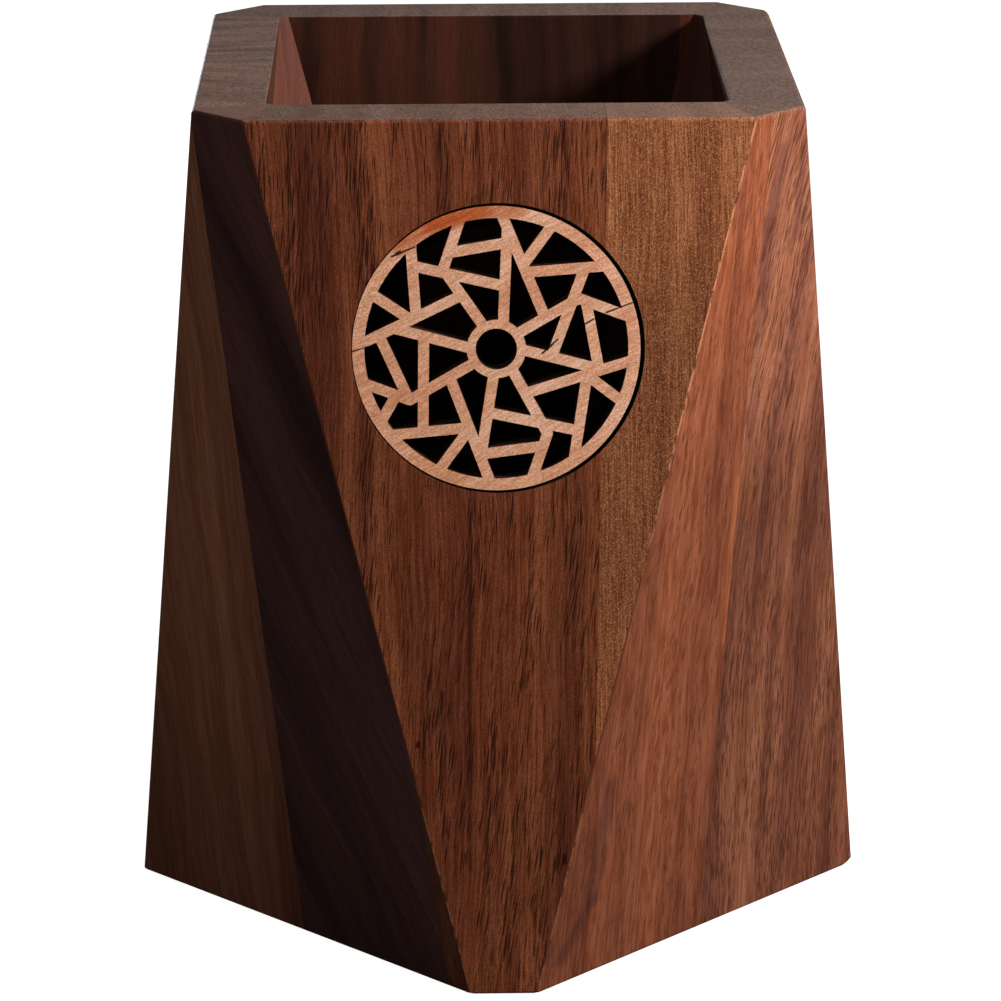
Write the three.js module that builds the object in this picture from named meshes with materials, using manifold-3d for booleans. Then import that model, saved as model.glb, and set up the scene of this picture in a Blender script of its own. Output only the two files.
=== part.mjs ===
// A pen holder: eight mitred walnut boards glued round a base board.
// The four side boards are wide at the rim and narrow at the foot, and lean out on the way down.
// The four corner boards stand between them the other way up and lean in on the way down,
// so the mouth is nearly a square and the foot nearly a square turned by 45 degrees.
// Each board is glued up from strips. A round window in the front board holds a lattice disc.
// Millimetres, +Z up, the front towards -Y, the origin on the table under the middle.

import * as THREE from "three";
import { mergeVertices } from "three/addons/utils/BufferGeometryUtils.js";
import Module from "manifold-3d";

const wasm = await Module();
wasm.setup();

// Body
const HEIGHT = 100;
const RIM_ACROSS = 68.2; // over two opposite side boards, at the rim
const RIM_CORNER_WIDTH = 8.2; // outer width of a corner board at the rim
const FOOT_ACROSS = 86.8; // over two opposite side boards, at the foot
const FOOT_SIDE_WIDTH = 7.6; // outer width of a side board at the foot
const BOARD_THICKNESS = 8.2; // square to the board's face
const JOINT_GAP = 0.3; // between any two glued faces

// Base board
const BASE_THICKNESS = 6;
const BASE_SEAM = -4.5; // where its two strips meet, right of the middle

// Window in the front board
const WINDOW_BELOW_RIM = 25.5; // from the rim down to the window's centre
const WINDOW_OFFSET = -0.3; // right of the board's centre line
const LEDGE_WIDTH = 3; // step behind the disc that it is glued on

// Lattice disc
const DISC_DIAMETER = 32;
const DISC_THICKNESS = 3;
const DISC_CLEARANCE = 0.3; // all round, in its recess
const DISC_OFF_CENTRE = 0.65; // to the left in the recess, as a share of that clearance
const RING_WIDTH = 1.35;
const HUB_DIAMETER = 6.6;
const HUB_HOLE = 4.6;
const BAR_WIDTH = 1.2;

// Fineness of round shapes
const SEGMENTS_PER_MM = 3; // of diameter
const FEWEST_SEGMENTS = 32;

const QUARTER_TURN = 90; // degrees
const BOARD_TURN = 45; // degrees from each board to the next
const WHOLE_TURN = 360;
const UP = new THREE.Vector3(0, 0, 1);
const SAW_SIZE = 4 * Math.max(HEIGHT, FOOT_ACROSS, RIM_ACROSS);

// Woods, as seen on the outer faces
const WOODS = {
  brown_walnut: { color: "#7a4634", roughness: 0.55 },
  golden_walnut: { color: "#8a5f3f", roughness: 0.6 },
  red_walnut: { color: "#8f4f38", roughness: 0.55 },
  striped_walnut: { color: "#6f4032", roughness: 0.55 },
  dark_walnut: { color: "#43282a", roughness: 0.6 },
  lattice_wood: { color: "#d2a086", roughness: 0.75 },
};

// Boards in turn round the holder, from the front and on to the right: side boards and corner
// boards alternate. A board's strips and seams run from left to right seen from outside. A seam
// crosses the board's wide end at a share of half its width, right of the middle, and goes up the
// face at a tilt in degrees, positive to the right.
const BOARDS = [
  {
    name: "front",
    hasWindow: true,
    woods: ["brown_walnut", "golden_walnut"],
    seams: [{ share: 0.42, tilt: 1.1 }],
  },
  {
    name: "front_right",
    woods: ["red_walnut", "striped_walnut"],
    seams: [{ share: -0.01, tilt: -0.6 }],
  },
  {
    name: "right",
    woods: ["brown_walnut", "golden_walnut"],
    seams: [{ share: 0.58, tilt: 1.1 }],
  },
  {
    name: "back_right",
    woods: ["striped_walnut", "brown_walnut"],
    seams: [{ share: 0.16, tilt: -2.3 }],
  },
  {
    name: "back",
    woods: ["golden_walnut", "striped_walnut", "brown_walnut"],
    seams: [
      { share: -0.82, tilt: -0.7 },
      { share: 0.11, tilt: 0.9 },
    ],
  },
  {
    name: "back_left",
    woods: ["brown_walnut", "red_walnut"],
    seams: [{ share: -0.13, tilt: 2.6 }],
  },
  {
    name: "left",
    woods: ["striped_walnut", "brown_walnut", "dark_walnut"],
    seams: [
      { share: 0.14, tilt: 1.1 },
      { share: 0.57, tilt: 0.9 },
    ],
  },
  {
    name: "front_left",
    woods: ["brown_walnut", "dark_walnut", "golden_walnut"],
    seams: [
      { share: 0.015, tilt: -2.7 },
      { share: 0.875, tilt: -5.6 },
    ],
  },
];

// The lattice is four like quarters, each a quarter turn clockwise of the one before. Degrees are
// counted from where the quarter starts. A share is how far along another bar an end sits.
const QUARTERS = [
  {
    spoke: { hubDegrees: 36.5, endShare: 0.67, endDegrees: 31.5 },
    long: { ringDegrees: 88, spokeShare: 0.46 },
    stay: { hubDegrees: 74, longShare: 0.15 },
    cross: { longShare: 0.57, ringDegrees: 37 },
    tooth: { longShare: 0.5, ringDegrees: 65.5 },
    rest: { ringDegrees: 13 },
    brace: { crossShare: 0.73, stayShare: 0.37 },
    tie: { restShare: 0.14, longShare: 0.32 },
  },
  {
    spoke: { hubDegrees: 37, endShare: 0.695, endDegrees: 30.5 },
    long: { ringDegrees: 85, spokeShare: 0.38 },
    stay: { hubDegrees: 88, longShare: 0.29 },
    cross: { longShare: 0.43, ringDegrees: 34 },
    tooth: { longShare: 0.44, ringDegrees: 66.5 },
    rest: { ringDegrees: 14.5 },
    brace: { crossShare: 0.65, stayShare: 0.46 },
    tie: { restShare: 0.27, longShare: 0.28 },
  },
  {
    spoke: { hubDegrees: 32, endShare: 0.7, endDegrees: 30.5 },
    long: { ringDegrees: 87.5, spokeShare: 0.39 },
    stay: { hubDegrees: 84, longShare: 0.25 },
    cross: { longShare: 0.53, ringDegrees: 39 },
    tooth: { longShare: 0.52, ringDegrees: 64.5 },
    rest: { ringDegrees: 14 },
    brace: { crossShare: 0.58, stayShare: 0.61 },
    tie: { restShare: 0.02, longShare: 0.2 },
    extra: { restShare: 0.29, ringDegrees: 32.5 },
  },
  {
    spoke: { hubDegrees: 28.5, endShare: 0.67, endDegrees: 33 },
    long: { ringDegrees: 88, spokeShare: 0.55 },
    stay: { hubDegrees: 88, longShare: 0.34 },
    cross: { longShare: 0.56, ringDegrees: 38 },
    tooth: { longShare: 0.51, ringDegrees: 65.5 },
    rest: { ringDegrees: 14.5 },
    brace: { crossShare: 0.68, stayShare: 0.4 },
    tie: { restShare: 0.31, longShare: 0.28 },
  },
];

// Distances from the middle to the boards' outer faces, at the rim and at the foot
const sideFace = { rim: RIM_ACROSS / 2, foot: FOOT_ACROSS / 2 };
const cornerFace = {
  rim: sideFace.rim * Math.SQRT2 - RIM_CORNER_WIDTH / 2,
  foot: (sideFace.foot + FOOT_SIDE_WIDTH / 2) / Math.SQRT2,
};

// The kind of face that the board at some number of turns from a side board has
function faceAt(turns) {
  return turns % 2 === 0 ? sideFace : cornerFace;
}

// How far a board leans out on its way down, in radians
function lean(face) {
  return Math.atan((face.foot - face.rim) / HEIGHT);
}

// The outer face of a board as a plane, turned from the front by some degrees
function outerPlane(face, degrees) {
  const normal = new THREE.Vector3(0, -Math.cos(lean(face)), Math.sin(lean(face)));
  normal.applyAxisAngle(UP, THREE.MathUtils.degToRad(degrees));
  return new THREE.Plane(normal, -face.foot * Math.cos(lean(face)));
}

// A closed geometry as a solid that can be cut and joined
function solidOf(geometry) {
  const bare = geometry.clone();
  bare.deleteAttribute("normal");
  bare.deleteAttribute("uv");
  const merged = mergeVertices(bare);
  return new wasm.Manifold(
    new wasm.Mesh({
      numProp: 3,
      vertProperties: merged.attributes.position.array,
      triVerts: new Uint32Array(merged.index.array),
    }),
  );
}

// A named mesh of a solid, in one of the woods
function meshOf(name, solid, wood) {
  const { vertProperties, triVerts } = solid.getMesh();
  const indexed = new THREE.BufferGeometry();
  indexed.setAttribute("position", new THREE.BufferAttribute(vertProperties, 3));
  indexed.setIndex(new THREE.BufferAttribute(triVerts, 1));
  const geometry = indexed.toNonIndexed();
  geometry.computeVertexNormals();
  const material = new THREE.MeshStandardMaterial({ ...WOODS[wood], metalness: 0 });
  const mesh = new THREE.Mesh(geometry, material);
  mesh.name = name;
  return mesh;
}

// Removes what lies beyond a plane, and a gap on the near side of it
function sawOff(solid, plane, gap) {
  const saw = new THREE.BoxGeometry(SAW_SIZE, SAW_SIZE, SAW_SIZE);
  saw.translate(0, 0, SAW_SIZE / 2 - gap);
  saw.applyQuaternion(new THREE.Quaternion().setFromUnitVectors(UP, plane.normal));
  const point = plane.coplanarPoint(new THREE.Vector3());
  saw.translate(point.x, point.y, point.z);
  return solid.subtract(solidOf(saw));
}

// A level slab that reaches past the walls on all sides
function slab(thickness) {
  const box = new THREE.BoxGeometry(SAW_SIZE, SAW_SIZE, thickness);
  box.translate(0, 0, thickness / 2);
  return solidOf(box);
}

// A whole board of the wall, facing the front, before it is parted into strips. It ends where
// another board's outer face comes nearer than its own, which is the mitre between the two.
function boardBlank(place) {
  const own = outerPlane(faceAt(place), 0);
  let blank = sawOff(slab(HEIGHT), own, 0);
  blank = sawOff(blank, own.clone().negate(), -BOARD_THICKNESS);
  for (let turns = 1; turns < WHOLE_TURN / BOARD_TURN; turns += 1) {
    const other = outerPlane(faceAt(place + turns), turns * BOARD_TURN);
    const across = other.normal.clone().sub(own.normal);
    const mitre = new THREE.Plane(across, other.constant - own.constant).normalize();
    blank = sawOff(blank, mitre, JOINT_GAP / 2);
  }
  return blank;
}

// Parts a blank at its seams into strips, from left to right
function partAtSeams(blank, seams) {
  const strips = [];
  for (let i = 0; i <= seams.length; i += 1) {
    let strip = blank;
    if (i > 0) {
      strip = sawOff(strip, seams[i - 1].clone().negate(), JOINT_GAP / 2);
    }
    if (i < seams.length) {
      strip = sawOff(strip, seams[i], JOINT_GAP / 2);
    }
    strips.push(strip);
  }
  return strips;
}

// The frame of a board's outer face: x across it, z up along it, y into the wood
function faceFrame(face) {
  const frame = new THREE.Group();
  frame.position.set(0, -face.foot, 0);
  frame.rotation.x = -lean(face);
  frame.updateMatrix();
  return frame;
}

// A board's seams as planes square to its face, their normals to the right
function seamPlanes(seams, place, frame) {
  const face = faceAt(place);
  const wideEnd = face === sideFace ? "rim" : "foot";
  const halfWidth = faceAt(place + 1)[wideEnd] * Math.SQRT2 - face[wideEnd];
  const up = wideEnd === "rim" ? HEIGHT / Math.cos(lean(face)) : 0;
  return seams.map(({ share, tilt }) => {
    const angle = THREE.MathUtils.degToRad(tilt);
    const right = new THREE.Vector3(Math.cos(angle), 0, -Math.sin(angle));
    const crossing = new THREE.Vector3(share * halfWidth, 0, up);
    const plane = new THREE.Plane().setFromNormalAndCoplanarPoint(right, crossing);
    return plane.applyMatrix4(frame.matrix);
  });
}

// A cylinder along y, made of as many flats as its size needs
function roundGeometry(diameter, length) {
  const segments = Math.max(FEWEST_SEGMENTS, Math.round(SEGMENTS_PER_MM * diameter));
  return new THREE.CylinderGeometry(diameter / 2, diameter / 2, length, segments);
}

// The window's centre, measured up along the front board's face
const windowUp = (HEIGHT - WINDOW_BELOW_RIM) / Math.cos(lean(sideFace));

// What a drill takes out at the window, from in front of the board down to a depth
function windowDrill(diameter, depth, frame) {
  const start = -BOARD_THICKNESS;
  const drill = roundGeometry(diameter, depth - start);
  drill.translate(WINDOW_OFFSET, (depth + start) / 2, windowUp);
  drill.applyMatrix4(frame.matrix);
  return solidOf(drill);
}

// Cuts the recess for the disc, and a smaller bore right through that leaves the ledge
function cutWindow(blank, frame) {
  const recessDiameter = DISC_DIAMETER + 2 * DISC_CLEARANCE;
  const recess = windowDrill(recessDiameter, DISC_THICKNESS + JOINT_GAP, frame);
  const bore = windowDrill(recessDiameter - 2 * LEDGE_WIDTH, 2 * BOARD_THICKNESS, frame);
  return blank.subtract(recess).subtract(bore);
}

// A post of the lattice at a point, upright on the sheet and centred in its thickness
function post(diameter, height, point) {
  const cylinder = roundGeometry(diameter, height);
  cylinder.rotateX(Math.PI / 2);
  cylinder.translate(point.x, point.y, DISC_THICKNESS / 2);
  return solidOf(cylinder);
}

// A straight bar between two points of the lattice
function bar([start, end]) {
  const middle = start.clone().lerp(end, 0.5);
  const run = end.clone().sub(start);
  const box = new THREE.BoxGeometry(run.length(), BAR_WIDTH, DISC_THICKNESS);
  box.rotateZ(run.angle());
  box.translate(middle.x, middle.y, DISC_THICKNESS / 2);
  return solidOf(box);
}

// The ends of the bars of the lattice, for each of the four quarters
function latticeBars() {
  const ringMiddle = (DISC_DIAMETER - RING_WIDTH) / 2;
  const hubMiddle = (HUB_DIAMETER + HUB_HOLE) / 4;
  const along = ([start, end], share) => start.clone().lerp(end, share);
  const quarters = QUARTERS.map(({ spoke, long, stay, cross, tooth, rest, extra }, index) => {
    const at = (radius, degrees) => {
      const angle = THREE.MathUtils.degToRad(degrees - index * QUARTER_TURN);
      return new THREE.Vector2(radius * Math.cos(angle), radius * Math.sin(angle));
    };
    const onRing = (degrees) => at(ringMiddle, degrees);
    const onHub = (degrees) => at(hubMiddle, degrees);
    const tip = at((spoke.endShare * DISC_DIAMETER) / 2, spoke.endDegrees);
    const bars = { spoke: [onHub(spoke.hubDegrees), tip] };
    bars.rest = [tip, onRing(rest.ringDegrees)];
    bars.long = [onRing(long.ringDegrees), along(bars.spoke, long.spokeShare)];
    bars.stay = [onHub(stay.hubDegrees), along(bars.long, stay.longShare)];
    bars.cross = [along(bars.long, cross.longShare), onRing(cross.ringDegrees)];
    bars.tooth = [along(bars.long, tooth.longShare), onRing(tooth.ringDegrees)];
    if (extra) {
      bars.extra = [along(bars.rest, extra.restShare), onRing(extra.ringDegrees)];
    }
    return bars;
  });
  quarters.forEach((bars, index) => {
    const { brace, tie } = QUARTERS[index];
    const next = quarters[(index + 1) % quarters.length];
    bars.brace = [along(bars.cross, brace.crossShare), along(next.stay, brace.stayShare)];
    bars.tie = [along(bars.rest, tie.restShare), along(next.long, tie.longShare)];
  });
  return quarters;
}

// The disc, cut from one thin sheet: a ring, a hub with a hole, and the bars between them. A post
// rounds the bend where each spoke turns into its rest.
function latticeDisc() {
  const centre = new THREE.Vector2();
  const cutterHeight = 3 * DISC_THICKNESS;
  const ringHole = post(DISC_DIAMETER - 2 * RING_WIDTH, cutterHeight, centre);
  let sheet = post(DISC_DIAMETER, DISC_THICKNESS, centre).subtract(ringHole);
  sheet = sheet.add(post(HUB_DIAMETER, DISC_THICKNESS, centre));
  for (const bars of latticeBars()) {
    for (const ends of Object.values(bars)) {
      sheet = sheet.add(bar(ends));
    }
    sheet = sheet.add(post(BAR_WIDTH, DISC_THICKNESS, bars.rest[0]));
  }
  sheet = sheet.subtract(post(HUB_HOLE, cutterHeight, centre));
  const mesh = meshOf("lattice_disc", sheet, "lattice_wood");
  mesh.rotation.x = Math.PI / 2;
  mesh.position.set(WINDOW_OFFSET - DISC_OFF_CENTRE * DISC_CLEARANCE, DISC_THICKNESS, windowUp);
  return mesh;
}

// One board of the wall, turned to its place
function board({ name, hasWindow, seams, woods }, place) {
  const frame = faceFrame(faceAt(place));
  const group = new THREE.Group();
  group.rotation.z = THREE.MathUtils.degToRad(place * BOARD_TURN);
  let blank = boardBlank(place);
  if (hasWindow) {
    blank = cutWindow(blank, frame);
    frame.add(latticeDisc());
    group.add(frame);
  }
  const strips = partAtSeams(blank, seamPlanes(seams, place, frame));
  strips.forEach((strip, index) => {
    group.add(meshOf(name + "_strip_" + (index + 1), strip, woods[index]));
  });
  return group;
}

// The base board between the walls, its edges bevelled to their lean
function baseBoard() {
  let blank = slab(BASE_THICKNESS);
  BOARDS.forEach((each, place) => {
    const wall = outerPlane(faceAt(place), place * BOARD_TURN);
    blank = sawOff(blank, wall, BOARD_THICKNESS + JOINT_GAP);
  });
  const seam = new THREE.Plane(new THREE.Vector3(1, 0, 0), -BASE_SEAM);
  const group = new THREE.Group();
  partAtSeams(blank, [seam]).forEach((strip, index) => {
    group.add(meshOf("base_strip_" + (index + 1), strip, "brown_walnut"));
  });
  return group;
}

const penHolder = new THREE.Group();
BOARDS.forEach((each, place) => penHolder.add(board(each, place)));
penHolder.add(baseBoard());

export default penHolder;
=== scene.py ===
from math import atan, cos, pi, radians, sin, sqrt, tan

import bmesh
import bpy
from mathutils import Matrix, Vector


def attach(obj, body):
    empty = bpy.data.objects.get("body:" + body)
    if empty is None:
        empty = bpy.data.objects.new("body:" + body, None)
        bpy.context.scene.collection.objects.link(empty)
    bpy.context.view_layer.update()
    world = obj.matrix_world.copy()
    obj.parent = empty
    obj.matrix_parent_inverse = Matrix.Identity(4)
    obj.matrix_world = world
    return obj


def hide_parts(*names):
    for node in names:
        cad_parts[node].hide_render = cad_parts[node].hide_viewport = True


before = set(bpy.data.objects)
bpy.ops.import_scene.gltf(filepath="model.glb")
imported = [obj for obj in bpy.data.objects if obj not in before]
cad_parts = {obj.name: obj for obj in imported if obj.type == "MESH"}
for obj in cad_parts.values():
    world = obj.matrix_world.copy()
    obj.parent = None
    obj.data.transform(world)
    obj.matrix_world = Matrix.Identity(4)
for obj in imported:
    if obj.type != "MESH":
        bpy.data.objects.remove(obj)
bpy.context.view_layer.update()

# Front board.
# Two strips of walnut glued edge to edge and sawn to outline with mitred edges. Its window is a
# recess for the disc, with a smaller bore right through it, and its walls and ledge are near black.
HEIGHT = 0.1
RIM_ACROSS = 0.0682
RIM_CORNER_WIDTH = 0.0082
FOOT_ACROSS = 0.0868
FOOT_SIDE_WIDTH = 0.0076
BOARD_THICKNESS = 0.0082
GLUE_GAP = 0.0003
GLUE_FILM = 0.000005
WINDOW_CENTRE = Vector((-0.0003, -0.03648, 0.0745))
WINDOW_RADIUS = 0.0163
WINDOW_SLACK = 0.0001

# What the sandpaper took off, each edge in so many flats. Arris 0 is the one between the front
# board and the front-right one, and they count round to the right.
RIM_RADIUS, RIM_FLATS = 0.0005, 3
MOUTH_RADIUS, MOUTH_FLATS = 0.0002, 2
FOOT_RADIUS, FOOT_FLATS = 0.0004, 2
ARRIS_RADIUS, ARRIS_FLATS = 0.0005, 1
ROUNDER_ARRISES = {2: (0.0066, 6), 3: (0.0025, 3)}
WORN_FOOT_CORNERS = {0: 0.0006, 1: 0.0012, 6: 0.0005, 7: 0.0006}
WORN_CORNER_FLATS = 5
# The pale arrises are partly worn pale and partly given a painted highlight
PALE_ARRISES = (0, 7)
PALE_SLOT, NEAR_BLACK_SLOT = 1, 2

BOARDS = (
    "front", "front_right", "right", "back_right", "back", "back_left", "left", "front_left",
)
SIDE = {"rim": RIM_ACROSS / 2, "foot": FOOT_ACROSS / 2}
CORNER = {
    "rim": SIDE["rim"] * sqrt(2) - RIM_CORNER_WIDTH / 2,
    "foot": (SIDE["foot"] + FOOT_SIDE_WIDTH / 2) / sqrt(2),
}
UP = Vector((0, 0, 1))

# Cosines of the angle between two directions, for telling faces and edges apart
SAME_WAY, NEARLY_SAME_WAY, ROUGHLY_SAME_WAY, NOT_SQUARE = 0.9999, 0.99, 0.9, 0.05


def lean(place):
    """How far the board at a place leans out on its way down."""
    face = CORNER if place % 2 else SIDE
    return atan((face["foot"] - face["rim"]) / HEIGHT)


def outer_plane(place):
    """The outward normal of a board's outer face, and the face's distance from the origin."""
    foot = (CORNER if place % 2 else SIDE)["foot"]
    turned = Matrix.Rotation(radians(45 * place), 3, "Z")
    return turned @ Vector((0, -cos(lean(place)), sin(lean(place)))), foot * cos(lean(place))


def merged_copy(node):
    """A node's mesh with its doubles merged and its flat faces whole."""
    bm = bmesh.new()
    bm.from_mesh(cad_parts[node].data)
    bmesh.ops.remove_doubles(bm, verts=bm.verts, dist=1e-6)
    bmesh.ops.dissolve_limit(bm, angle_limit=radians(0.3), verts=bm.verts, edges=bm.edges)
    bm.normal_update()
    for face in bm.faces:
        face.smooth = False
    return bm


def lies_on(face, normal, distance):
    """Whether a face lies on a plane."""
    off = face.verts[0].co.dot(normal) - distance
    return face.normal.dot(normal) > SAME_WAY and abs(off) < 1e-5


def in_window(face):
    """Whether a face belongs to the walls of the window or to its ledge."""
    normal, distance = outer_plane(0)
    offset = face.calc_center_median() - WINDOW_CENTRE
    inside = (offset - offset.dot(normal) * normal).length < WINDOW_RADIUS + WINDOW_SLACK
    return inside and not lies_on(face, normal, distance)


def slide_out(face, step):
    """Moves a face outwards, its corners along the edges that run up to it."""
    moves = {}
    for vert in face.verts:
        for edge in vert.link_edges:
            along = (vert.co - edge.other_vert(vert).co).normalized()
            if face not in edge.link_faces and along.dot(face.normal) > NOT_SQUARE:
                moves[vert] = along * step / along.dot(face.normal)
    for vert, move in moves.items():
        vert.co += move


def close_joints(bm, place):
    """Slides every glued face of a strip out until the glue is a thin film."""
    normal, _ = outer_plane(place)
    for face in list(bm.faces):
        level = abs(face.normal.z) > NEARLY_SAME_WAY
        skin = abs(face.normal.dot(normal)) > SAME_WAY
        if not (level or skin or (place == 0 and in_window(face))):
            slide_out(face, (GLUE_GAP - GLUE_FILM) / 2)


def shave(bm, normal, reach, slot):
    """Planes off what stands beyond a plane, and gives the new flat a material slot."""
    cut = bmesh.ops.bisect_plane(
        bm, geom=bm.verts[:] + bm.edges[:] + bm.faces[:], dist=1e-7,
        plane_co=normal * (reach / normal.length_squared), plane_no=normal.normalized(),
        clear_outer=True,
    )
    edges = [item for item in cut["geom_cut"] if isinstance(item, bmesh.types.BMEdge)]
    if len(edges) > 2:
        for face in bmesh.ops.contextual_create(bm, geom=edges)["faces"]:
            face.material_index = slot


def ease(bm, first, second, spread, radius, flats, slot=0):
    """Sands the edge between two planes to a radius, in flats that run on past the mitres; spread
    is the angle from one plane's normal to the other's."""
    (own, own_reach), (other, other_reach) = first, second
    for index in range(flats):
        angle = spread * (index + 0.5) / flats
        a = sin(spread - angle) / sin(spread)
        b = sin(angle) / sin(spread)
        reach = a * own_reach + b * other_reach - radius * (a + b - 1)
        shave(bm, a * own + b * other, reach, slot)


def ease_ends(bm, place):
    """Sands the outer and inner edge of the rim and the outer edge of the foot, all as if square,
    so that the flats of neighbouring boards meet at the mitres."""
    normal, distance = outer_plane(place)
    outer, inner = (normal, distance), (-normal, BOARD_THICKNESS - distance)
    ease(bm, outer, (UP, HEIGHT), pi / 2, RIM_RADIUS, RIM_FLATS)
    ease(bm, inner, (UP, HEIGHT), pi / 2, MOUTH_RADIUS, MOUTH_FLATS)
    ease(bm, outer, (-UP, 0), pi / 2, FOOT_RADIUS, FOOT_FLATS)


def strip(place, index, materials):
    """One strip of a board as a finished piece in place of its plain solid."""
    node = BOARDS[place] + "_strip_" + str(index)
    bm = merged_copy(node)
    if place == 0:
        for face in bm.faces:
            face.material_index = NEAR_BLACK_SLOT if in_window(face) else 0
    close_joints(bm, place)
    ease_ends(bm, place)
    for beside, arris in (((place + 1) % 8, place), ((place - 1) % 8, (place - 1) % 8)):
        own, other = outer_plane(place), outer_plane(beside)
        radius, flats = ROUNDER_ARRISES.get(arris, (ARRIS_RADIUS, ARRIS_FLATS))
        slot = PALE_SLOT if arris in PALE_ARRISES else 0
        ease(bm, own, other, own[0].angle(other[0]), radius, flats, slot)
        if arris in WORN_FOOT_CORNERS:
            both = own[0] + other[0]
            corner = both.normalized(), (own[1] + other[1]) / both.length
            spread = corner[0].angle(-UP)
            ease(bm, corner, (-UP, 0), spread, WORN_FOOT_CORNERS[arris], WORN_CORNER_FLATS)
    finish_piece(bm, node, materials)


def finish_piece(bm, node, materials):
    """Makes a piece of wood of a mesh, in a node's place and with its material slot."""
    bmesh.ops.triangulate(bm, faces=[face for face in bm.faces if len(face.verts) > 4])
    mesh = bpy.data.meshes.new(node + "_wood")
    bm.to_mesh(mesh)
    bm.free()
    piece = bpy.data.objects.new(node + "_wood", mesh)
    bpy.context.scene.collection.objects.link(piece)
    for material in materials:
        mesh.materials.append(material)
    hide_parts(node)
    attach(piece, "root")


ORIGIN = (0.0, 0.0, 0.0)


def new_group(name, inputs, outputs):
    """A node group with named inputs, each with its usual number or vector, and named outputs."""
    group = bpy.data.node_groups.new(name, "ShaderNodeTree")
    for label, value in inputs.items():
        kind = "NodeSocketFloat" if isinstance(value, float) else "NodeSocketVector"
        socket = group.interface.new_socket(label, in_out="INPUT", socket_type=kind)
        socket.default_value = value
    for label in outputs:
        group.interface.new_socket(label, in_out="OUTPUT", socket_type="NodeSocketFloat")
    into = group.nodes.new("NodeGroupInput").outputs
    out = group.nodes.new("NodeGroupOutput").inputs
    return group, into, out


def feed(tree, socket, value):
    """Gives a socket another socket's value, or a plain number or vector."""
    if isinstance(value, (int, float, tuple)):
        socket.default_value = value
    else:
        tree.links.new(value, socket)


def maths(tree, operation, *values, clamp=False):
    """A Math node fed by sockets or plain numbers; gives its output."""
    node = tree.nodes.new("ShaderNodeMath")
    node.operation = operation
    node.use_clamp = clamp
    for socket, value in zip(node.inputs, values):
        feed(tree, socket, value)
    return node.outputs[0]


def vector_maths(tree, operation, *values, output=0):
    """A Vector Math node fed by sockets or plain vectors; gives one of its outputs."""
    node = tree.nodes.new("ShaderNodeVectorMath")
    node.operation = operation
    for socket, value in zip(node.inputs, values):
        feed(tree, socket, value)
    return node.outputs[output]


def dot_product(tree, first, second):
    """The dot product of two vectors."""
    return vector_maths(tree, "DOT_PRODUCT", first, second, output="Value")


def split_axes(tree, vector):
    """A vector's three coordinates."""
    node = tree.nodes.new("ShaderNodeSeparateXYZ")
    tree.links.new(vector, node.inputs[0])
    return tuple(node.outputs)


def stretched(tree, axes, scales):
    """A vector of three coordinates, each times its own scale."""
    node = tree.nodes.new("ShaderNodeCombineXYZ")
    for socket, value, scale in zip(node.inputs, axes, scales):
        tree.links.new(maths(tree, "MULTIPLY", value, scale), socket)
    return node.outputs[0]


def noise(tree, vector, detail=2.0, roughness=0.5):
    """Soft noise from 0 to 1, about one hill to a unit."""
    node = tree.nodes.new("ShaderNodeTexNoise")
    node.inputs["Scale"].default_value = 1.0
    node.inputs["Detail"].default_value = detail
    node.inputs["Roughness"].default_value = roughness
    tree.links.new(vector, node.inputs["Vector"])
    return node.outputs["Fac"]


def scattered(tree, vector):
    """The distance to the nearest of many scattered points, about one to a unit cube."""
    node = tree.nodes.new("ShaderNodeTexVoronoi")
    node.inputs["Scale"].default_value = 1.0
    tree.links.new(vector, node.inputs["Vector"])
    return node.outputs["Distance"]


def remap(tree, value, low, high, out_low=0.0, out_high=1.0, smooth=True):
    """A value carried from one range to another, and held at its ends."""
    node = tree.nodes.new("ShaderNodeMapRange")
    node.interpolation_type = "SMOOTHSTEP" if smooth else "LINEAR"
    for name, number in (
        ("Value", value), ("From Min", low), ("From Max", high),
        ("To Min", out_low), ("To Max", out_high),
    ):
        feed(tree, node.inputs[name], number)
    return node.outputs["Result"]


def blend(tree, share, first, second, mode="MIX"):
    """A colour mixed from two, which may be sockets or plain colours."""
    node = tree.nodes.new("ShaderNodeMix")
    node.data_type = "RGBA"
    node.blend_type = mode
    feed(tree, node.inputs[0], share)
    for socket, colour in ((node.inputs[6], first), (node.inputs[7], second)):
        feed(tree, socket, colour + (1.0,) if isinstance(colour, tuple) else colour)
    return node.outputs[2]


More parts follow.
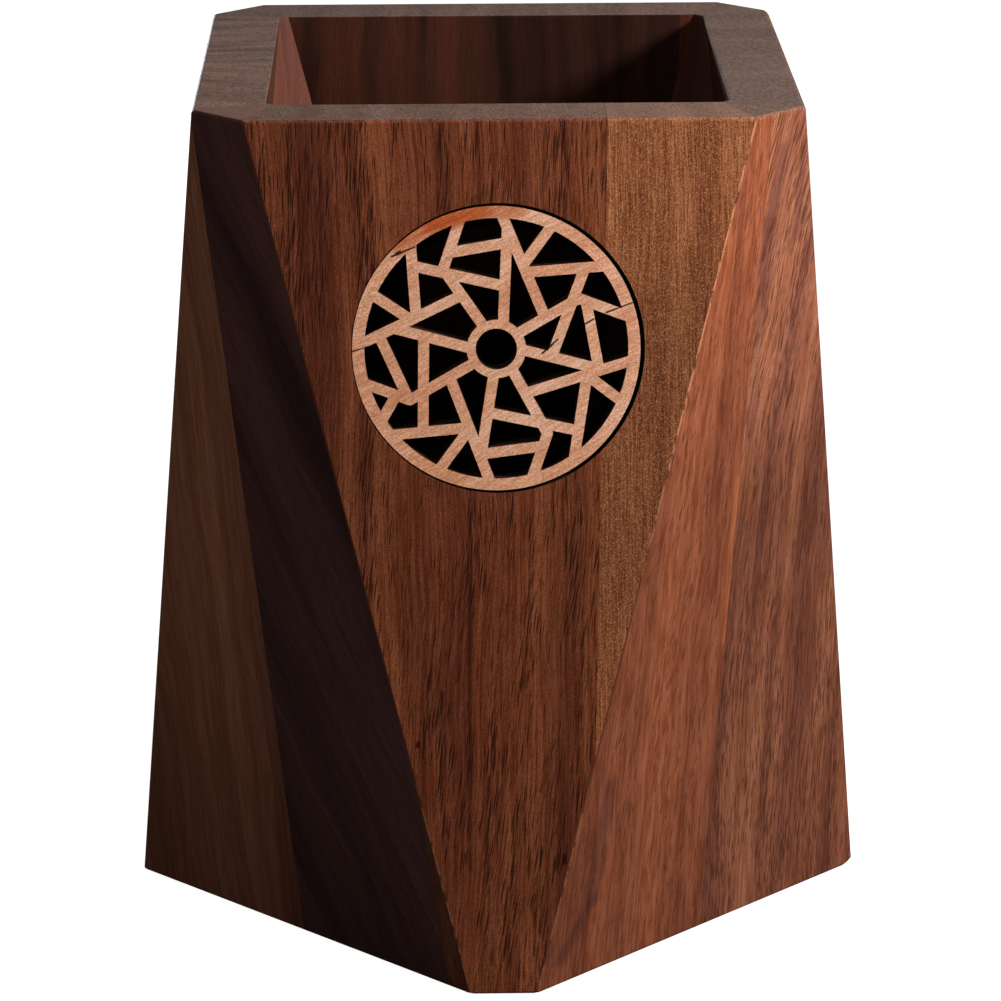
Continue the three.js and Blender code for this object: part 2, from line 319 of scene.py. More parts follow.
def grain_group():
    """Wood as a solid: millimetres in, the grain along Z. Pores are long thin tubes, so they show
    as dashes along the grain and as dots on the end grain."""
    group, into, out = new_group(
        "walnut grain",
        {
            "Vector": ORIGIN, "Band Width": 4.0, "Band Length": 60.0, "Waviness": 1.0, "Bend": 0.0,
            "Pore Width": 0.2, "Pore Length": 2.0, "Pore Share": 0.5, "Pore Lean": 0.0,
            "Fibre Length": 4.0, "Fibre Width": 0.19,
        },
        ("Figure", "Fibre", "Pores", "Speckle", "Height"),
    )
    x, y, z = split_axes(group, into["Vector"])

    def cells(across, deep, width, length, size=1.0):
        """Coordinates that count cells, each twice a width across and twice a length along."""
        wide = maths(group, "DIVIDE", 0.5 / size, width)
        long = maths(group, "DIVIDE", 0.5 / size, length)
        return stretched(group, (across, deep, z), (wide, wide, long))

    # The grain sways a few millimetres, and may bow more and more towards the rim
    sway_scales, sway_reach = (0.06, 0.06, 0.03), 7.0
    sway = noise(group, stretched(group, (x, y, z), sway_scales))
    sway = maths(group, "MULTIPLY", maths(group, "SUBTRACT", sway, 0.5), sway_reach)
    sway = maths(group, "MULTIPLY", sway, into["Waviness"])
    cubed = maths(group, "POWER", maths(group, "MAXIMUM", z, 0.0), 3.0)
    bow = maths(group, "MULTIPLY", cubed, into["Bend"])
    x = maths(group, "ADD", x, maths(group, "ADD", sway, bow))

    # Growth rings lie flat in the board, so the figure changes slowly through its thickness
    flattened = maths(group, "MULTIPLY", y, 0.12)
    figure = cells(x, flattened, into["Band Width"], into["Band Length"])
    figure = remap(group, noise(group, figure, detail=4.0, roughness=0.55), 0.3, 0.7)
    fibre = cells(x, y, into["Fibre Width"], into["Fibre Length"])
    fibre = remap(group, noise(group, fibre, detail=3.0, roughness=0.65), 0.28, 0.72)
    speckle_scales = (11.0, 11.0, 6.0)
    speckle = noise(group, stretched(group, (x, y, z), speckle_scales), detail=1.0)
    speckle = remap(group, speckle, 0.25, 0.75)

    # Pores crowd together in long patches, and are larger where they crowd
    crowd_scales, fewest, most = (0.35, 0.35, 0.04), 0.3, 1.2
    smallest_reach, largest_reach = 0.04, 0.46
    crowd = noise(group, stretched(group, (x, y, z), crowd_scales), detail=3.0, roughness=0.6)
    crowd = remap(group, crowd, 0.36, 0.62, fewest, most, smooth=False)
    crowd = maths(group, "MULTIPLY", crowd, into["Pore Share"])
    reach = remap(group, crowd, 0.0, most, smallest_reach, largest_reach, smooth=False)
    core = maths(group, "MULTIPLY", reach, 0.55)
    leaning = maths(group, "SUBTRACT", x, maths(group, "MULTIPLY", z, into["Pore Lean"]))
    full_size, small_size = (1.0, 1.0), (0.6, 0.9)
    dashes = []
    for size, strength in (full_size, small_size):
        place = cells(leaning, y, into["Pore Width"], into["Pore Length"], size)
        dashes.append(remap(group, scattered(group, place), reach, core, 0.0, strength))
    pores = maths(group, "MAXIMUM", *dashes)

    fibre_height, speckle_height = 0.3, 0.25
    height = maths(group, "MULTIPLY", speckle, speckle_height)
    height = maths(group, "MULTIPLY_ADD", fibre, fibre_height, height)
    group.links.new(figure, out["Figure"])
    group.links.new(fibre, out["Fibre"])
    group.links.new(pores, out["Pores"])
    group.links.new(speckle, out["Speckle"])
    group.links.new(maths(group, "SUBTRACT", height, pores), out["Height"])
    return group


def end_grain_group():
    """Where the surface is cut across the grain: 0 along the fibres, 1 square to them."""
    group, into, out = new_group("end grain", {"Normal": ORIGIN, "Grain": ORIGIN}, ("Share",))
    slanting, square = 0.55, 0.95
    across = maths(group, "ABSOLUTE", dot_product(group, into["Normal"], into["Grain"]))
    group.links.new(remap(group, across, slanting, square), out["Share"])
    return group


# Its shares place the painted shade on the walls of the cup, and the fainter fibres there
def inside_group():
    """Where the surface looks in at the holder's middle, as the walls of the cup do, and where it
    lies deep in the cup."""
    group, into, out = new_group(
        "inside of the cup", {"Position": ORIGIN, "Normal": ORIGIN}, ("Share", "Depth")
    )
    inwards, sideways = -0.6, -0.3
    outwards = vector_maths(group, "MULTIPLY", into["Position"], (1.0, 1.0, 0.0))
    outwards = vector_maths(group, "NORMALIZE", outwards)
    facing = dot_product(group, outwards, into["Normal"])
    group.links.new(remap(group, facing, inwards, sideways, 1.0, 0.0), out["Share"])
    shallow, deep = 0.092, 0.07
    height = split_axes(group, into["Position"])[2]
    group.links.new(remap(group, height, shallow, deep), out["Depth"])
    return group


def mark_group():
    """A mark along the line between two points of a face: a streak, a stain, a crack or a knot."""
    group, into, out = new_group(
        "mark",
        {"Vector": ORIGIN, "Start": ORIGIN, "End": ORIGIN, "Width": 0.3, "Unevenness": 0.3},
        ("Share",),
    )
    flat = vector_maths(group, "MULTIPLY", into["Vector"], (1.0, 0.0, 1.0))
    line = vector_maths(group, "SUBTRACT", into["End"], into["Start"])
    offset = vector_maths(group, "SUBTRACT", flat, into["Start"])
    never_nothing = 0.0001
    length = maths(group, "ADD", dot_product(group, line, line), never_nothing)
    share = maths(group, "DIVIDE", dot_product(group, offset, line), length, clamp=True)
    nearest = vector_maths(group, "MULTIPLY", line, share)
    away = vector_maths(group, "SUBTRACT", offset, nearest)
    away = vector_maths(group, "LENGTH", away, output="Value")

    # Its outline is ragged, and it fades from a fifth of its width outwards
    ragged = vector_maths(group, "MULTIPLY", into["Vector"], (2.5, 2.5, 1.2))
    ragged = noise(group, ragged, detail=3.0, roughness=0.6)
    ragged = maths(group, "MULTIPLY_ADD", ragged, 2.0, -1.0)
    away = maths(group, "MULTIPLY_ADD", ragged, into["Unevenness"], away)
    full = maths(group, "MULTIPLY", into["Width"], 0.2)
    group.links.new(remap(group, away, full, into["Width"], 1.0, 0.0), out["Share"])
    return group


GRAIN = grain_group()
MARK = mark_group()
END_GRAIN = end_grain_group()
INSIDE = inside_group()


def add_group(tree, group, **values):
    """Places a node group in a material, its inputs named with underscores."""
    node = tree.nodes.new("ShaderNodeGroup")
    node.node_tree = group
    for name, value in values.items():
        feed(tree, node.inputs[name.replace("_", " ").title()], value)
    return node.outputs


def srgb(red, green, blue):
    """A colour from its screen values, 0 to 255."""
    def linear(value):
        value /= 255
        return value / 12.92 if value <= 0.04045 else ((value + 0.055) / 1.055) ** 2.4
    return linear(red), linear(green), linear(blue)


def new_material(name):
    """A material, with its node tree and its Principled BSDF."""
    material = bpy.data.materials.new(name)
    material.use_nodes = True
    return material, material.node_tree, material.node_tree.nodes["Principled BSDF"]


def shaded(tree, tone, value, share):
    """A tone made deeper where a value is 0 and paler where it is 1; blue changes most."""
    strengths = [share * part for part in (1.0, 1.4, 2.0)]
    low = tuple(1.0 - strength for strength in strengths)
    high = tuple(1.0 + strength for strength in strengths)
    return blend(tree, 1.0, tone, blend(tree, value, low, high), "MULTIPLY")


def painted_light_by_height(tree, tone, height, levels, rim_from):
    """Painted light and shade along the height: a tone times one level at the foot, another at the
    waist and a third at the rim.
    """
    foot, waist, rim = levels
    foot_height, waist_height = 0.005, 0.05
    level = remap(tree, height, foot_height, waist_height, foot, waist)
    level = remap(tree, height, waist_height, rim_from, level, rim)
    return blend(tree, 1.0, tone, level, "MULTIPLY")


def marked(tree, tone, place, shift, mark, shown, colour):
    """A tone with one mark on it. A mark is its two ends, its width, its strength and, unless it
    is of the usual colour, its own colour."""
    (start_x, start_z), (end_x, end_z), width, strength = mark[:4]
    raggedness = 0.35
    share = add_group(
        tree, MARK, vector=place, start=(start_x + shift[0], 0, start_z + shift[2]),
        end=(end_x + shift[0], 0, end_z + shift[2]), width=width, unevenness=raggedness * width,
    )["Share"]
    share = maths(tree, "MULTIPLY", maths(tree, "MULTIPLY", share, shown), strength)
    return blend(tree, share, tone, srgb(*(mark[4] if len(mark) > 4 else colour)))


def walnut(
    name, turned, shift, dark, middle, light, pore, fleck=None, end=(109, 88, 79), fibre_share=0.3,
    speckle_share=0.15, pore_strength=0.9, ring_share=0.15, roughness=0.55, gloss=0.15,
    inside=0.5, levels=None, rim_from=0.095, marks=(), **grain
):
    """Oiled walnut. turned takes the holder's own axes to the strip's, with its grain along Z;
    inside is the part of its tone left on the walls of the cup, as painted shade where less
    light comes; levels paint light and shade on a strip, deeper or paler at its foot, waist and
    rim, which starts at rim_from."""
    material, tree, surface = new_material(name)
    source = tree.nodes.new("ShaderNodeTexCoord").outputs
    position, normal = source["Object"], source["Normal"]
    mapping = tree.nodes.new("ShaderNodeMapping")
    mapping.inputs["Scale"].default_value = (1000, 1000, 1000)
    mapping.inputs["Rotation"].default_value = turned.to_euler("XYZ")
    mapping.inputs["Location"].default_value = shift
    tree.links.new(position, mapping.inputs["Vector"])
    place = mapping.outputs[0]
    wood = add_group(tree, GRAIN, vector=place, **grain)
    figure, fibre, pores, speckle = (wood[part] for part in ("Figure", "Fibre", "Pores", "Speckle"))
    grain_way = tuple(turned.inverted() @ UP)
    sawn = add_group(tree, END_GRAIN, normal=normal, grain=grain_way)["Share"]
    within = add_group(tree, INSIDE, position=position, normal=normal)

    # The figure, from dark bands to light ones, and the rings of the end grain, whose greyer, paler
    # colour is partly its own and partly a painted sheen of the light from above
    tone = blend(tree, remap(tree, figure, 0.0, 0.5), srgb(*dark), srgb(*middle))
    tone = blend(tree, remap(tree, figure, 0.5, 1.0), tone, srgb(*light))
    # Painted light and shade: the levels make the strip paler or deeper along its height
    if levels:
        tone = painted_light_by_height(tree, tone, split_axes(tree, position)[2], levels, rim_from)
    rings = remap(tree, figure, 0.0, 1.0, 1.0 - ring_share, 1.0 + ring_share, smooth=False)
    tone = blend(tree, sawn, tone, blend(tree, 1.0, srgb(*end), rings, "MULTIPLY"))
    along = remap(tree, sawn, 0.0, 0.5, 1.0, 0.0)
    for mark in marks:
        tone = marked(tree, tone, place, shift, mark, along, pore)

    # Fibres and pores are fainter in the cup, and pores on the end grain
    faint_inside, faint_on_end = 0.35, 0.45 * pore_strength
    dim = remap(tree, within["Share"], 0.0, 1.0, 1.0, faint_inside, smooth=False)
    calm = maths(tree, "MULTIPLY_ADD", maths(tree, "SUBTRACT", fibre, 0.5), dim, 0.5)
    tone = shaded(tree, tone, calm, fibre_share)
    tone = shaded(tree, tone, speckle, speckle_share)
    shown = remap(tree, sawn, 0.0, 1.0, pore_strength, faint_on_end, smooth=False)
    shown = maths(tree, "MULTIPLY", shown, dim)
    tone = blend(tree, maths(tree, "MULTIPLY", pores, shown), tone, srgb(*pore))
    if fleck:
        bright = maths(tree, "MULTIPLY", remap(tree, speckle, 0.72, 0.95), 0.5)
        tone = blend(tree, bright, tone, srgb(*fleck))

    # Painted shade: the walls of the cup are made deeper in tone, where less light comes, and more
    # so lower down
    painted_shade_low_down = 0.4 * inside
    deep = remap(tree, within["Depth"], 0.0, 1.0, inside, painted_shade_low_down, smooth=False)
    shade = remap(tree, within["Share"], 0.0, 1.0, 1.0, deep, smooth=False)
    tone = blend(tree, 1.0, tone, shade, "MULTIPLY")
    tree.links.new(tone, surface.inputs["Base Color"])

    end_roughness, pore_roughness = 0.8, 0.2
    matte = remap(tree, sawn, 0.0, 1.0, roughness, end_roughness, smooth=False)
    matte = maths(tree, "MULTIPLY_ADD", pores, pore_roughness, matte)
    tree.links.new(matte, surface.inputs["Roughness"])
    surface.inputs["Specular IOR Level"].default_value = gloss
    relief = tree.nodes.new("ShaderNodeBump")
    relief.inputs["Strength"].default_value = 0.3
    relief.inputs["Distance"].default_value = 0.0001
    tree.links.new(wood["Height"], relief.inputs["Height"])
    tree.links.new(relief.outputs[0], surface.inputs["Normal"])
    return material


def along_board(place, tilt=0.0):
    """The turn from the holder's axes to a strip's: X across the board, Z up its grain."""
    return (
        Matrix.Rotation(radians(-tilt), 3, "Y")
        @ Matrix.Rotation(lean(place), 3, "X")
        @ Matrix.Rotation(radians(-45 * place), 3, "Z")
    )


def bare_wood(name, roughness):
    """A material for wood that shows no grain, with the three coordinates to work from."""
    material, tree, surface = new_material(name)
    surface.inputs["Roughness"].default_value = roughness
    surface.inputs["Specular IOR Level"].default_value = 0.2
    axes = split_axes(tree, tree.nodes.new("ShaderNodeTexCoord").outputs["Object"])
    return material, tree, surface.inputs["Base Color"], axes


def mottled_wood(name, colour, roughness):
    """A wood with faint mottling, for the burnt walls of the lattice and the near-black walls of
    the window.
    """
    material, tree, base, axes = bare_wood(name, roughness)
    mottle_scales, darkest = (1500, 1500, 400), 0.45
    mottle = noise(tree, stretched(tree, axes, mottle_scales), detail=3.0, roughness=0.6)
    dark = tuple(darkest * part for part in srgb(*colour))
    tone = blend(tree, remap(tree, mottle, 0.3, 0.7), dark, srgb(*colour))
    tree.links.new(tone, base)
    return material


def worn_and_highlit_wood(name, colour, low_colour):
    """The sanded arris, paler near the rim on the right and near the foot, in broken stretches:
    partly its own pale wear and partly a painted highlight where the light catches the edge.
    """
    material, tree, base, axes = bare_wood(name, 0.6)
    x, _, z = axes
    near_rim, on_right = remap(tree, z, 0.04, 0.07), remap(tree, x, 0.0, 0.005)
    near_foot = remap(tree, z, 0.028, 0.018, 0.0, 0.7)
    more_on_left = remap(tree, x, 0.002, -0.002, 0.5, 1.0)
    wear_and_highlight = maths(tree, "MULTIPLY", near_foot, more_on_left)
    wear_and_highlight = maths(tree, "MULTIPLY_ADD", near_rim, on_right, wear_and_highlight)
    patch_scales = (1200, 1200, 600)
    patches = noise(tree, stretched(tree, axes, patch_scales), detail=3.0, roughness=0.6)
    share = maths(tree, "MULTIPLY", wear_and_highlight, remap(tree, patches, 0.38, 0.56))
    tree.links.new(blend(tree, share, srgb(*low_colour), srgb(*colour)), base)
    return material


worn_and_highlit_arris = worn_and_highlit_wood("worn arris", (196, 132, 92), (88, 44, 26))
# The walls and ledge of the window are given a near-black colour
near_black = mottled_wood("charred walnut", (22, 12, 9), 0.9)
front_brown = walnut(
    "front brown walnut", along_board(0, 1.5), (3, 40, 0),
    dark=(98, 47, 29), middle=(117, 60, 36), light=(134, 73, 44), pore=(42, 16, 7),
    end=(112, 88, 77), fibre_share=0.34, speckle_share=0.26, gloss=0.08,
    band_width=2.0, band_length=60.0, waviness=0.5, bend=0.0000025,
    fibre_length=5.0, fibre_width=0.13,
    pore_width=0.135, pore_length=2.6, pore_share=1.0, pore_lean=0.1,
    marks=(
        # The first two marks are painted shade, darkening the board towards its upper left
        ((-25.0, 98.0), (-21.0, 55.0), 8.0, 0.18, (50, 24, 16)),
        ((-16.0, 58.0), (-9.0, 30.0), 5.0, 0.17),
        ((6.5, 54.0), (5.0, 6.0), 5.0, 0.2),
        ((-4.9, 53.6), (-4.1, 10.7), 0.4, 0.5),
        ((-10.3, 25.1), (-10.2, 25.5), 0.35, 1.0),
        ((6.7, 11.8), (6.6, 12.4), 0.5, 1.0),
    ),
)
front_golden = walnut(
    "front golden walnut", along_board(0), (50, 10, 7),
    dark=(124, 69, 41), middle=(137, 79, 47), light=(149, 90, 56), pore=(92, 48, 27),
    fleck=(204, 152, 112), end=(112, 88, 76), fibre_share=0.46, speckle_share=0.3, gloss=0.1,
    levels=(2.2, 0.87, 1.12), band_width=1.4, band_length=60.0, waviness=0.3,
    fibre_length=3.0, fibre_width=0.1, pore_width=0.1, pore_length=0.7, pore_share=0.4,
    # The mark is painted shade, a wide dark band beside the window
    marks=[((19.6, 73.5), (18.6, 67.0), 9.0, 0.26)],
)
strip(0, 1, [front_brown, worn_and_highlit_arris, near_black])
strip(0, 2, [front_golden, worn_and_highlit_arris, near_black])

# Front-right corner board.
# Two strips of walnut, glued up and mitred as the front board is: an orange-red one with long
# fine fibres, and a purple-brown one with wavy stripes.
red = walnut(
    "red walnut", along_board(1), (11, 70, 20),
    dark=(114, 59, 38), middle=(130, 71, 46), light=(144, 80, 52), pore=(86, 40, 24),
    end=(109, 86, 75), fibre_share=0.28, speckle_share=0.18, pore_strength=0.75, gloss=0.12,
    levels=(0.92, 0.9, 1.3), band_width=2.0, band_length=50.0, waviness=0.7,
    fibre_length=2.6, fibre_width=0.22,
    pore_width=0.2, pore_length=1.7, pore_share=0.8, pore_lean=0.14,
    marks=(
        ((-22.8, 20.3), (-25.9, 7.9), 3.6, 0.45, (84, 44, 30)),
        ((-18.6, 26.9), (-20.0, 13.1), 1.8, 0.6, (76, 41, 33)),
        ((-20.0, 13.1), (-24.3, 7.0), 1.5, 0.6, (76, 41, 33)),
        ((-1.2, 60.7), (-0.9, 40.7), 0.7, 0.5, (166, 92, 56)),
    ),
)
striped = walnut(
    "striped walnut", along_board(1, -5), (80, 20, 0),
    dark=(100, 55, 39), middle=(120, 69, 47), light=(137, 83, 58), pore=(68, 35, 27),
    end=(109, 88, 77), fibre_share=0.32, speckle_share=0.2, pore_strength=0.74, gloss=0.12,
    levels=(1.08, 0.92, 1.36), rim_from=0.072, band_width=1.4, band_length=40.0,
    waviness=0.5, bend=-0.000014, fibre_length=3.0, fibre_width=0.16,
    pore_width=0.2, pore_length=1.7, pore_share=1.3,
    marks=(
        ((12.0, 100.0), (12.0, 70.0), 14.0, 0.08, (150, 104, 90)),
        ((8.6, 104.0), (6.4, 92.0), 1.0, 0.5, (160, 94, 64)),
        ((9.8, 99.0), (7.7, 90.7), 1.5, 0.65, (106, 61, 51)),
        ((7.7, 90.7), (7.3, 83.0), 1.6, 0.65, (102, 58, 49)),
        ((7.3, 83.0), (5.6, 66.0), 1.4, 0.4, (96, 54, 45)),
        ((13.4, 99.0), (12.5, 88.0), 1.2, 0.6, (106, 61, 51)),
        ((19.1, 55.7), (20.6, 43.6), 2.6, 0.35, (84, 46, 40)),
        ((5.1, 55.2), (4.3, 40.1), 1.4, 0.3, (88, 50, 42)),
    ),
)
strip(1, 1, [red, worn_and_highlit_arris])
strip(1, 2, [striped, worn_and_highlit_arris])

# Right board.
# Two strips of walnut, glued up and mitred as the front board is.
right_brown = walnut(
    "right brown walnut", along_board(2), (23, 5, 60),
    dark=(82, 42, 27), middle=(106, 58, 36), light=(124, 70, 44), pore=(44, 22, 14),
    band_width=3.5, pore_share=0.5,
)
right_golden = walnut(
    "right golden walnut", along_board(2), (90, 44, 12),
    dark=(104, 62, 40), middle=(126, 76, 48), light=(142, 88, 56), pore=(76, 42, 26),
    band_width=4.0, pore_width=0.15, pore_length=1.4, pore_share=0.5,
)
strip(2, 1, [right_brown])
strip(2, 2, [right_golden])

# Back-right corner board.
# Two strips of walnut, glued up and mitred as the front board is. Its two arrises are sanded
# rounder than the others.
back_right_striped = walnut(
    "back right striped walnut", along_board(3, 3), (5, 90, 31),
    dark=(80, 46, 37), middle=(108, 64, 47), light=(130, 80, 60), pore=(58, 32, 26),
    inside=0.33, band_width=1.4, band_length=30.0, pore_share=0.45,
)
back_right_brown = walnut(
    "back right brown walnut", along_board(3, -3), (60, 33, 3),
    dark=(82, 42, 26), middle=(106, 56, 35), light=(124, 68, 42), pore=(44, 20, 14),
    inside=0.33, band_width=3.5, pore_share=0.55,
)
strip(3, 1, [back_right_striped])
strip(3, 2, [back_right_brown])

# Back board.
# Three strips of walnut, glued up and mitred as the front board is.
back_golden = walnut(
    "back golden walnut", along_board(4), (14, 25, 80),
    dark=(104, 58, 36), middle=(126, 70, 43), light=(142, 82, 51), pore=(76, 40, 24),
    inside=0.3, band_width=3.0, pore_width=0.13, pore_length=1.2, pore_share=0.5,
)
back_striped = walnut(
    "back striped walnut", along_board(4, 1), (37, 61, 5),
    dark=(74, 38, 28), middle=(98, 52, 37), light=(116, 65, 47), pore=(48, 25, 18),
    inside=0.21, band_width=1.6, band_length=40.0, pore_share=0.5,
    marks=[((1.0, 100.0), (1.0, 55.0), 3.4, 0.5, (150, 84, 58))],
)
back_brown = walnut(
    "back brown walnut", along_board(4, -1), (70, 12, 44),
    dark=(76, 42, 30), middle=(110, 60, 43), light=(132, 70, 48), pore=(46, 22, 14),
    inside=0.32, band_width=2.4, band_length=24.0, pore_share=0.55,
)
strip(4, 1, [back_golden])
strip(4, 2, [back_striped])
strip(4, 3, [back_brown])

# Back-left corner board.
# Two strips of walnut, glued up and mitred as the front board is.
back_left_brown = walnut(
    "back left brown walnut", along_board(5, 2), (8, 51, 15),
    dark=(112, 62, 47), middle=(127, 72, 55), light=(138, 80, 61), pore=(66, 36, 28),
    inside=0.59, band_width=4.0, pore_share=0.5,
)
back_left_red = walnut(
    "back left red walnut", along_board(5, -2), (42, 8, 66),
    dark=(124, 69, 53), middle=(134, 77, 59), light=(144, 86, 66), pore=(84, 42, 30),
    inside=0.59, band_width=4.0, fibre_length=10.0,
    pore_width=0.14, pore_length=3.0, pore_share=0.35,
)
strip(5, 1, [back_left_brown])
strip(5, 2, [back_left_red])

# Left board.
# Three strips of walnut, glued up and mitred as the front board is.
left_striped = walnut(
    "left striped walnut", along_board(6), (30, 71, 9),
    dark=(74, 44, 36), middle=(102, 60, 46), light=(122, 78, 60), pore=(54, 31, 26),
    end=(116, 93, 84), inside=0.62, ring_share=0.34, band_width=1.0, pore_share=0.35,
)
left_brown = walnut(
    "left brown walnut", along_board(6), (64, 15, 52),
    dark=(84, 44, 29), middle=(108, 58, 37), light=(124, 70, 44), pore=(46, 22, 16),
    end=(118, 92, 82), inside=0.62, ring_share=0.3, band_width=1.2, pore_share=0.4,
)
left_dark = walnut(
    "left dark walnut", along_board(6), (12, 38, 27),
    dark=(52, 30, 27), middle=(68, 41, 36), light=(82, 52, 44), pore=(32, 18, 16),
    end=(120, 93, 82), speckle_share=0.3, inside=0.62, band_width=3.0, pore_share=0.9,
)
strip(6, 1, [left_striped])
strip(6, 2, [left_brown])
strip(6, 3, [left_dark])

# Front-left corner board.
# Three strips of walnut, glued up and mitred as the front board is: a medium brown one, a very
# dark one, and a sliver that the mitre left of a third.
front_left_brown = walnut(
    "front left brown walnut", along_board(7, -2.7), (19, 27, 71),
    dark=(106, 64, 46), middle=(126, 77, 56), light=(138, 88, 65), pore=(76, 44, 32),
    end=(110, 86, 76), fibre_share=0.16, gloss=0.08, levels=(0.62, 0.92, 0.86),
    band_width=2.0, band_length=90.0, pore_width=0.16, pore_length=3.0, pore_share=0.4,
)
front_left_dark = walnut(
    "front left dark walnut", along_board(7, -28), (77, 55, 36),
    dark=(54, 32, 31), middle=(69, 42, 40), light=(82, 52, 49), pore=(40, 23, 23),
    end=(117, 90, 80), fibre_share=0.14, gloss=0.06, levels=(0.82, 0.84, 0.95),
    band_width=3.0, pore_length=3.0, pore_share=0.35,
)
front_left_sliver = walnut(
    "front left sliver walnut", along_board(7, -5), (45, 83, 18),
    dark=(60, 30, 18), middle=(76, 40, 25), light=(94, 52, 34), pore=(40, 20, 13), gloss=0.1,
    band_width=2.0, pore_share=0.5,
)
strip(7, 1, [front_left_brown, worn_and_highlit_arris])
strip(7, 2, [front_left_dark, worn_and_highlit_arris])
strip(7, 3, [front_left_sliver, worn_and_highlit_arris])

# Base board.
# Two strips of walnut glued edge to edge, bevelled to fit between the walls and glued in flush
# with their feet. Its grain runs from front to back.
base_wood = walnut(
    "base walnut", Matrix.Rotation(radians(90), 3, "X"), (15, 60, 33),
    dark=(82, 44, 30), middle=(104, 59, 40), light=(120, 72, 48), pore=(46, 24, 17),
    inside=1.0, band_width=3.5, pore_share=0.5,
)
for index in (1, 2):
    node = "base_strip_" + str(index)
    bm = merged_copy(node)
    for face in list(bm.faces):
        if abs(face.normal.z) < NEARLY_SAME_WAY:
            # Between the two strips each takes half of the gap; the walls take none of theirs
            share = 0.5 if abs(face.normal.x) > SAME_WAY else 1.0
            slide_out(face, share * (GLUE_GAP - GLUE_FILM))
    finish_piece(bm, node, [base_wood])

# Lattice disc.
# A disc of thin pale wood, cut through by a laser in one go, so that its walls are burnt brown.
# It drops into the recess of the window and is glued to the ledge there.
DISC_GRAIN = along_board(0, 62)
DISC_ACROSS, DISC_HEIGHT = -0.5, 74.5
CELL_CORNER = radians(25)
CELL_ROUNDING = 0.00022
CRACK_COLOUR = (50, 20, 8)


def on_disc(across, up):
    """The place of a point of the disc's face in the frame of its grain, in millimetres."""
    height = DISC_HEIGHT + up * cos(lean(0))
    depth = height * tan(lean(0)) - 1000 * FOOT_ACROSS / 2
    placed = DISC_GRAIN @ Vector((DISC_ACROSS + across, depth, height))
    return placed.x, placed.z


CRACKS = (
    ((-11.5, 10.45), (-8.9, 11.5), 0.17), ((-10.9, 10.75), (-10.6, 10.9), 0.35),
    ((12.2, 4.0), (15.1, 5.1), 0.17), ((9.8, 2.7), (10.8, 3.3), 0.14),
    ((5.1, -0.5), (6.8, 1.0), 0.2), ((-16.1, -0.2), (-14.2, 0.4), 0.13),
)
STAINS = (
    ((-10.6, 11.6), (-7.0, 14.0), 1.5, 0.75, (198, 98, 46)),
    ((-7.0, 14.0), (-1.6, 15.4), 1.8, 0.95, (190, 88, 38)),
    ((-1.6, 15.4), (2.6, 15.4), 1.4, 0.6, (200, 106, 54)),
    ((-9.0, -12.6), (-4.5, -14.6), 1.6, 0.4, (214, 140, 84)),
    ((13.2, 8.0), (15.0, 1.0), 1.5, 0.25, (214, 130, 84)),
)
lattice_face = walnut(
    "lattice wood", DISC_GRAIN, (4, 9, 2),
    dark=(225, 158, 120), middle=(235, 171, 135), light=(243, 187, 155), pore=(172, 102, 70),
    end=(212, 160, 134), fibre_share=0.16, speckle_share=0.22, pore_strength=0.7, roughness=0.7,
    inside=1.0, band_width=2.4, band_length=8.0, fibre_length=1.5, fibre_width=0.12,
    pore_width=0.12, pore_length=0.5, pore_share=0.45,
    marks=[(on_disc(*a), on_disc(*b), *stain) for a, b, *stain in STAINS]
    + [(on_disc(*a), on_disc(*b), width, 1.0, CRACK_COLOUR) for a, b, width in CRACKS],
)
lattice_wall = mottled_wood("burnt lattice wall", (48, 22, 10), 0.85)
face_normal, _ = outer_plane(0)
bm = merged_copy("lattice_disc")
corners = []
for edge in bm.edges:
    run = (edge.verts[0].co - edge.verts[1].co).normalized()
    through = abs(run.dot(face_normal)) > NEARLY_SAME_WAY
    if through and edge.calc_face_angle(0) > CELL_CORNER:
        corners.append(edge)

# No corner is rounded further than the closest two have room for. That is less than a thousandth
# of a millimetre, so the cells' corners stay sharp.
bmesh.ops.bevel(
    bm, geom=corners, offset=CELL_ROUNDING, affect="EDGES", segments=3, profile=0.5, material=-1,
    clamp_overlap=True,
)
bm.normal_update()
for face in bm.faces:
    flat = abs(face.normal.dot(face_normal)) > ROUGHLY_SAME_WAY
    face.material_index = 0 if flat else 1
finish_piece(bm, "lattice_disc", [lattice_face, lattice_wall])

# Studio.
# A plain pale floor that runs out of view on all sides, one soft lamp from the right and a
# little in front, a faint even fill from all round, and a lamp behind, too low to reach the rim.
FLOOR_REACH, FLOOR_DROP = 4.0, 0.0001


def show_in_view(tree, in_view, otherwise, output):
    """Gives a surface one look where it is seen, and another where it only lights things."""
    ray = tree.nodes.new("ShaderNodeLightPath")
    split = tree.nodes.new("ShaderNodeMixShader")
    tree.links.new(ray.outputs["Is Camera Ray"], split.inputs[0])
    tree.links.new(otherwise.outputs[0], split.inputs[1])
    tree.links.new(in_view.outputs[0], split.inputs[2])
    tree.links.new(split.outputs[0], tree.nodes[output].inputs["Surface"])


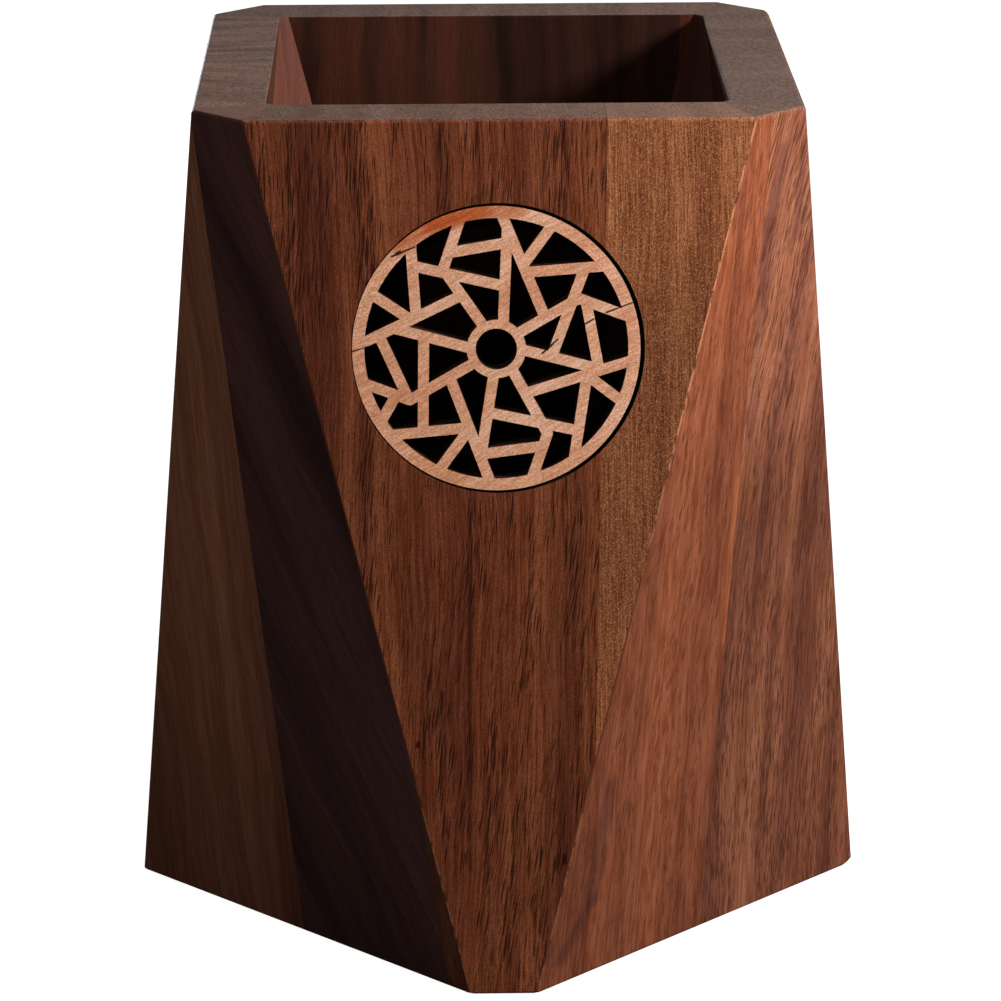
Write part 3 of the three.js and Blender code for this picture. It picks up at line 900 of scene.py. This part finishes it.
floor_mesh = bpy.data.meshes.new("floor")
bm = bmesh.new()
bmesh.ops.create_grid(bm, x_segments=1, y_segments=1, size=FLOOR_REACH)
bmesh.ops.translate(bm, verts=bm.verts, vec=(0, 0, -FLOOR_DROP))
bm.to_mesh(floor_mesh)
bm.free()
floor = bpy.data.objects.new("floor", floor_mesh)
bpy.context.scene.collection.objects.link(floor)
material, tree, surface = new_material("pale floor")
surface.inputs["Base Color"].default_value = (0.15, 0.15, 0.15, 1)
surface.inputs["Roughness"].default_value = 0.9
shadowed = tree.nodes.new("ShaderNodeBsdfDiffuse")
shadowed.inputs["Color"].default_value = (0.3, 0.3, 0.3, 1)
white = tree.nodes.new("ShaderNodeEmission")
white.inputs["Color"].default_value = (0.95, 0.95, 0.95, 1)
pale = tree.nodes.new("ShaderNodeAddShader")
tree.links.new(shadowed.outputs[0], pale.inputs[0])
tree.links.new(white.outputs[0], pale.inputs[1])
show_in_view(tree, pale, surface, "Material Output")
floor_mesh.materials.append(material)

world = bpy.data.worlds.new("studio")
world.use_nodes = True
bpy.context.scene.world = world
tree = world.node_tree
fill = tree.nodes["Background"]
fill.inputs["Color"].default_value = (1.0, 0.97, 0.94, 1)
fill.inputs["Strength"].default_value = 0.1
backdrop = tree.nodes.new("ShaderNodeBackground")
backdrop.inputs["Color"].default_value = (1, 1, 1, 1)
show_in_view(tree, backdrop, fill, "World Output")


def lamp(name, place, aim, size, power):
    """A square soft lamp at a place, turned to shine at a point."""
    data = bpy.data.lights.new(name, "AREA")
    data.shape = "SQUARE"
    data.size = size
    data.energy = power
    light = bpy.data.objects.new(name, data)
    light.location = place
    light.visible_camera = False
    light.rotation_euler = (Vector(aim) - Vector(place)).to_track_quat("-Z", "Y").to_euler()
    bpy.context.scene.collection.objects.link(light)


lamp("key lamp", (0.225, -0.10, 0.215), aim=(0, 0, 0.06), size=0.045, power=1.15)
lamp("fill lamp", (-0.20, -0.30, 0.34), aim=(0, 0, 0.08), size=0.30, power=0.4)
lamp("low lamp behind", (-0.22, 0.50, 0.07), aim=(0, 0, 0.05), size=0.12, power=2.0)

# Camera.
# It stands where the photograph was taken from, half a metre in front of the holder and twice as
# high as its rim.
CAMERA_PLACE = (-0.007895, -0.514674, 0.203612)
CAMERA_DOWN, CAMERA_LEFT, CAMERA_ROLL = 17.051, -0.934, 0.2
IMAGE_WIDTH = 1001
FOCAL_PIXELS = 4465.1
camera_data = bpy.data.cameras.new("camera")
camera_data.sensor_width = 36
camera_data.lens = FOCAL_PIXELS * camera_data.sensor_width / IMAGE_WIDTH
camera = bpy.data.objects.new("camera", camera_data)
turn = (
    Matrix.Rotation(radians(CAMERA_LEFT), 3, "Z")
    @ Matrix.Rotation(radians(-CAMERA_DOWN), 3, "X")
    @ Matrix.Rotation(radians(CAMERA_ROLL), 3, "Y")
    @ Matrix.Rotation(radians(90), 3, "X")
)
camera.matrix_world = Matrix.Translation(CAMERA_PLACE) @ turn.to_4x4()
bpy.context.scene.collection.objects.link(camera)
bpy.context.scene.camera = camera
bpy.context.scene.view_settings.view_transform = "Standard"
